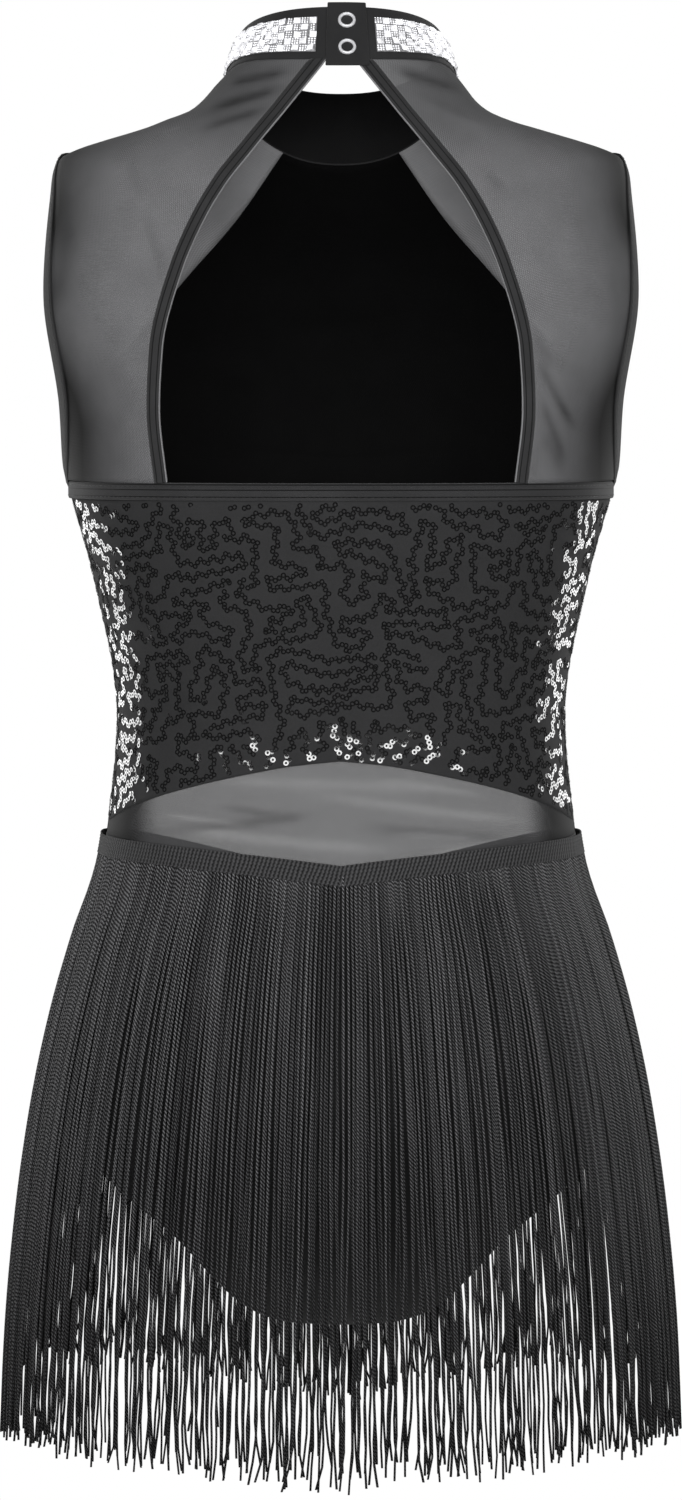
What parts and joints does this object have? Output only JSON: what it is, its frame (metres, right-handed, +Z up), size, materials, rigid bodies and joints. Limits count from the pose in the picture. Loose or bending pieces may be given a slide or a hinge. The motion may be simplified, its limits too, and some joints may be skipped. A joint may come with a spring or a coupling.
{
  "type": "latin dance leotard",
  "caption": "Sleeveless leotard with a stand collar, sheer shoulders and waist, an open back, a sequinned body and a long fringe that hangs from the hips.",
  "frame": {"origin": "middle of the neck between the two shoulder seams, at the height where those seams meet the collar: the place where the wearer's shoulders carry the garment", "axes": "+Z up along the wearer, -Y towards the wearer's front, +X towards the wearer's left"},
  "size_m": [0.3441, 0.2279, 0.7199],
  "materials": {
    "sheer_mesh": "fine black stretch mesh, seen through",
    "sequin_cloth": "matt black knit sewn with glossy black ring sequins",
    "knit_binding": "black folded elastic, slightly ribbed",
    "collar_knit": "black stretch knit with a short nap",
    "brief_knit": "smooth black stretch knit",
    "fringe_yarn": "black chain-stitched rayon yarn with a soft sheen",
    "crystal_trim": "silvered stones and beads set close together",
    "snap_steel": "polished ring snaps"
  },
  "bodies": {
    "root": {"collar_band": "collar_knit", "collar_trim": "crystal_trim", "closure_tab": "knit_binding", "snap_ring_upper": "snap_steel", "snap_ring_lower": "snap_steel", "back_mesh_left": "sheer_mesh", "back_mesh_right": "sheer_mesh", "front_mesh_left": "sheer_mesh", "front_mesh_right": "sheer_mesh", "keyhole_binding_left": "knit_binding", "keyhole_binding_right": "knit_binding", "armhole_binding_left": "knit_binding", "armhole_binding_right": "knit_binding", "back_band": "knit_binding", "back_sequin_panel": "sequin_cloth", "front_bodice": "sequin_cloth", "back_waist_mesh": "sheer_mesh", "front_waist_mesh": "sheer_mesh", "brief_back": "brief_knit", "brief_front": "brief_knit", "gusset": "brief_knit", "fringe_back": "fringe_yarn", "fringe_front": "fringe_yarn"}
  },
  "joints": []
}
